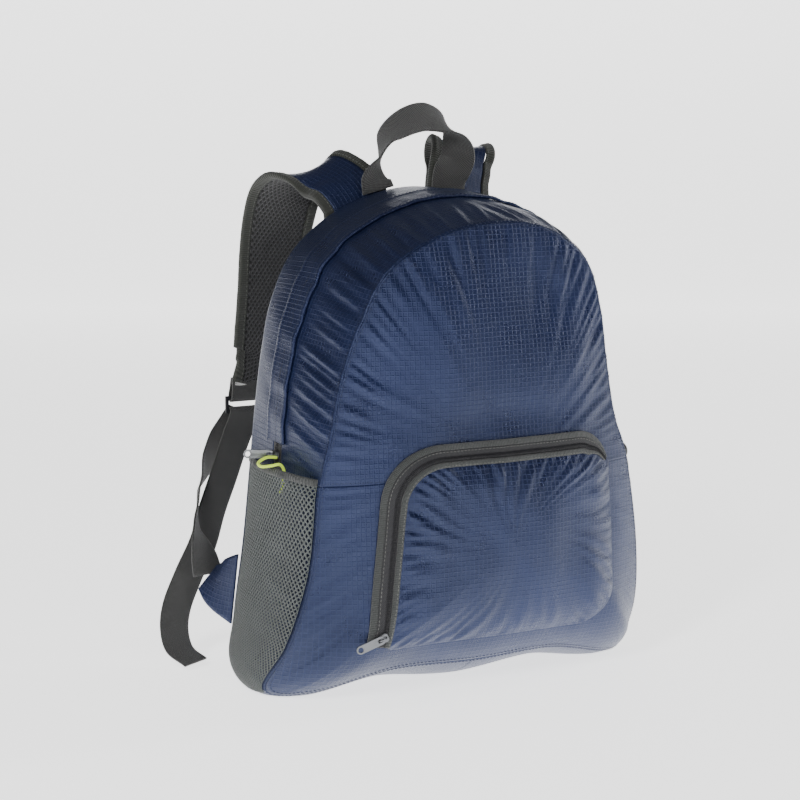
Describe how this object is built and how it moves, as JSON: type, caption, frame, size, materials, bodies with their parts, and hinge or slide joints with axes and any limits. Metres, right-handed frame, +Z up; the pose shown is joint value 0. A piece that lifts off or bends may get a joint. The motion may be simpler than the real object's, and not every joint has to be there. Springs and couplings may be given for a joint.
{
  "type": "backpack",
  "caption": "Packable nylon backpack standing stuffed: zipped main bag, front zip pocket, net side pockets, padded shoulder straps and a webbing grab handle.",
  "frame": {"origin": "middle of the flat base, where the bag rests", "axes": "+X is the viewer right of the front, -Y the way the front faces, +Z up"},
  "size_m": [0.4128, 0.2584, 0.4688],
  "materials": {
    "ripstop": "satin ripstop nylon",
    "net": "open net",
    "edge_tape": "ribbed binding tape",
    "webbing": "coarse woven webbing",
    "zip_tape": "matt woven tape",
    "zip_coil": "satin",
    "air_mesh": "spacer mesh",
    "zinc": "satin grey metal",
    "buckle": "moulded",
    "cord": "round braid"
  },
  "bodies": {
    "root": {"back_panel": "ripstop", "gusset_back": "ripstop", "main_zip": "zip_tape", "gusset_front": "ripstop", "base_gusset": "ripstop", "front_upper_panel": "ripstop", "front_lower_panel": "ripstop", "storm_flap": "ripstop", "mesh_pocket_right": "net", "mesh_binding_right": "edge_tape", "mesh_pocket_left": "net", "mesh_binding_left": "edge_tape", "pocket_binding": "edge_tape", "pocket_zip": "zip_tape", "pocket_zip_coil": "zip_coil", "pocket_panel": "ripstop", "main_slider": "zinc", "pocket_slider": "zinc", "grab_handle": "webbing", "strap_outer_left": "ripstop", "strap_pad_left": "air_mesh", "strap_binding_left_a": "edge_tape", "strap_binding_left_b": "edge_tape", "strap_stub_left": "webbing", "adjust_webbing_left": "webbing", "wing_tab_left": "ripstop", "strap_buckle_left": "buckle", "strap_outer_right": "ripstop", "strap_pad_right": "air_mesh", "strap_binding_right_a": "edge_tape", "strap_binding_right_b": "edge_tape", "strap_stub_right": "webbing", "adjust_webbing_right": "webbing", "wing_tab_right": "ripstop", "strap_buckle_right": "buckle", "pull_cord": "cord"},
    "main_pull_tab": {"main_pull": "zinc"},
    "pocket_pull_tab": {"pocket_pull": "zinc"}
  },
  "joints": [
    {"name": "main_pull_hinge", "type": "hinge", "parent": "root", "child": "main_pull_tab", "pos_m": [-0.15812, 0.01583, 0.19372], "axis": [0.0666, 0, 0.9978], "range_deg": [-65, 30]},
    {"name": "pocket_pull_hinge", "type": "hinge", "parent": "root", "child": "pocket_pull_tab", "pos_m": [-0.11079, -0.08286, 0.05701], "axis": [-0.3595, 0.0924, 0.9286], "range_deg": [0, 150]}
  ]
}
